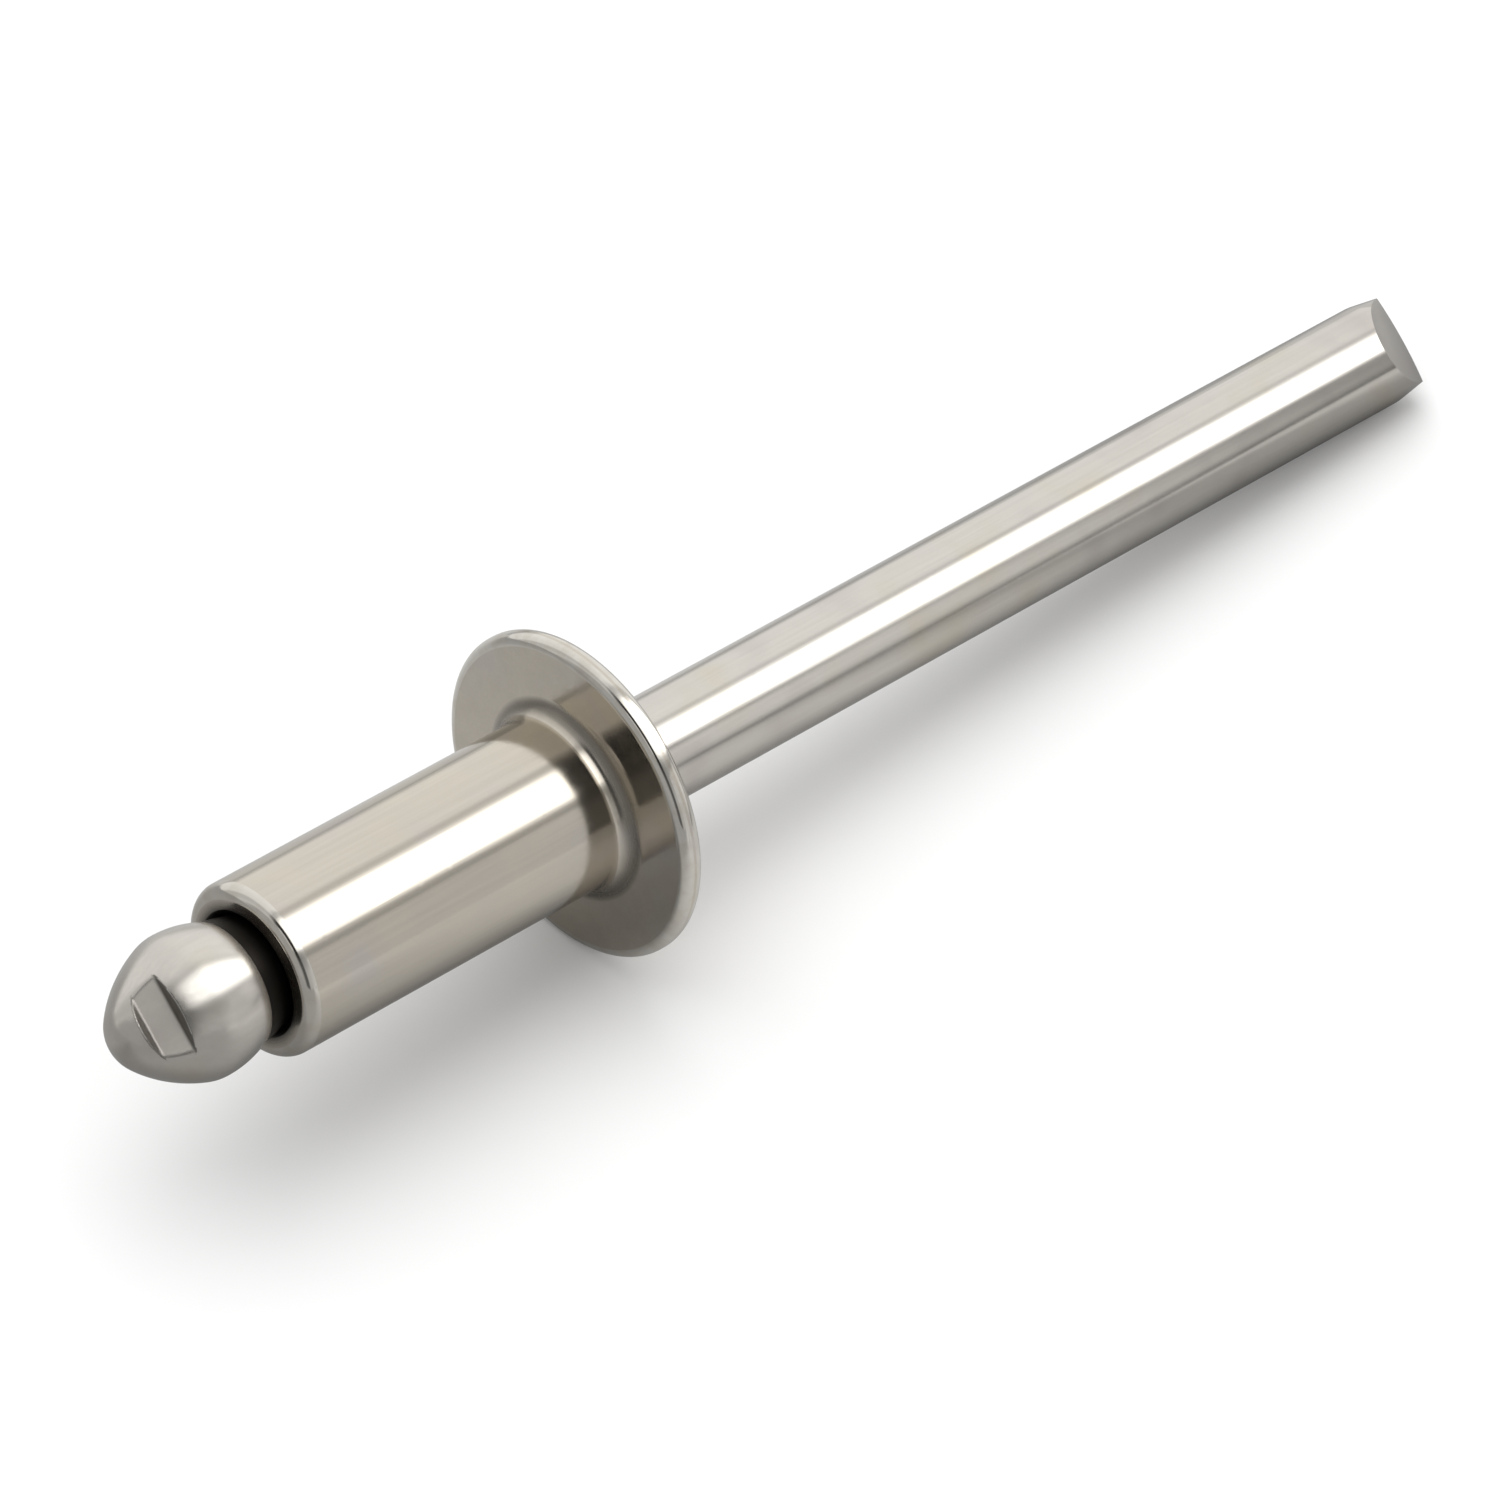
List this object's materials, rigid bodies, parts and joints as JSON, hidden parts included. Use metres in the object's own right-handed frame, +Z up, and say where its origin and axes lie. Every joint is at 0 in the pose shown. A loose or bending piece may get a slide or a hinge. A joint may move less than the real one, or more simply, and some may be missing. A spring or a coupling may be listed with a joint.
{
  "type": "pop rivet",
  "caption": "Open-end blind rivet with a low dome head, unset: a hollow flanged body on a steel mandrel with a bulb head, a break groove and a long plain stem.",
  "frame": {"origin": "centre of the base of the lying rivet's bounding box, on the surface that it lies on", "axes": "+Z up; +X level along the rivet towards the free end of the stem, which lies lower than the head; the rivet's own axis lies in the XZ plane, 5.99 degrees nose up; +Y across it"},
  "size_m": [0.046, 0.0092, 0.0091],
  "materials": {
    "body_steel": "polished stainless steel, finely drawn, with rounded bright edges",
    "mandrel_steel": "polished drawn stainless wire, bright head, plain pinched end"
  },
  "bodies": {
    "root": {"rivet_body": "body_steel", "mandrel": "mandrel_steel"}
  },
  "joints": []
}
